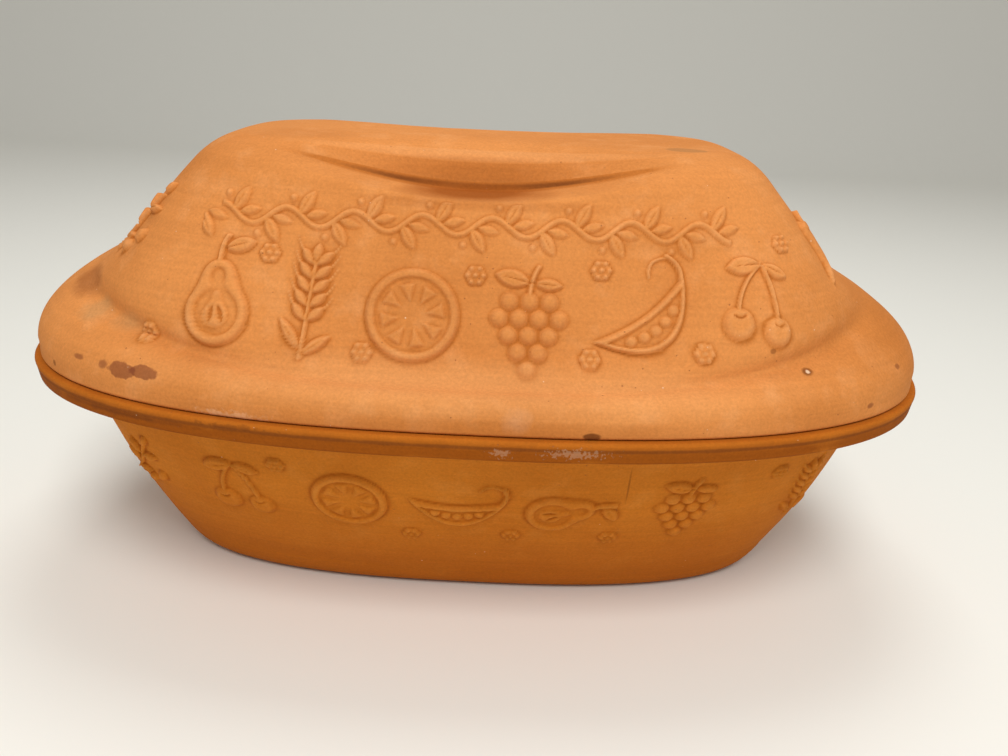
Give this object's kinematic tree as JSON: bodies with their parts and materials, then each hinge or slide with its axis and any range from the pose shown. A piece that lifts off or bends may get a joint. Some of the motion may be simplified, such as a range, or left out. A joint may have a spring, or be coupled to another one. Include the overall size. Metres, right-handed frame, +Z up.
{
  "type": "clay roaster",
  "caption": "Oblong unglazed clay baking dish with a flat rim and a domed lid that lifts off by its end ears or its top ridge.",
  "frame": {"origin": "centre of the flat foot, at the level that the dish stands on", "axes": "+X along the length of the roaster, +Z up"},
  "size_m": [0.3848, 0.244, 0.1938],
  "materials": {
    "dish_clay": "unglazed",
    "lid_clay": "unglazed"
  },
  "bodies": {
    "dish": {"base_dish": "dish_clay"},
    "cover": {"lid": "lid_clay"}
  },
  "joints": [
    {"name": "lid_lift", "type": "slide", "parent": "dish", "child": "cover", "axis": [0, 0, 1], "range_m": [0, 0.16]}
  ]
}
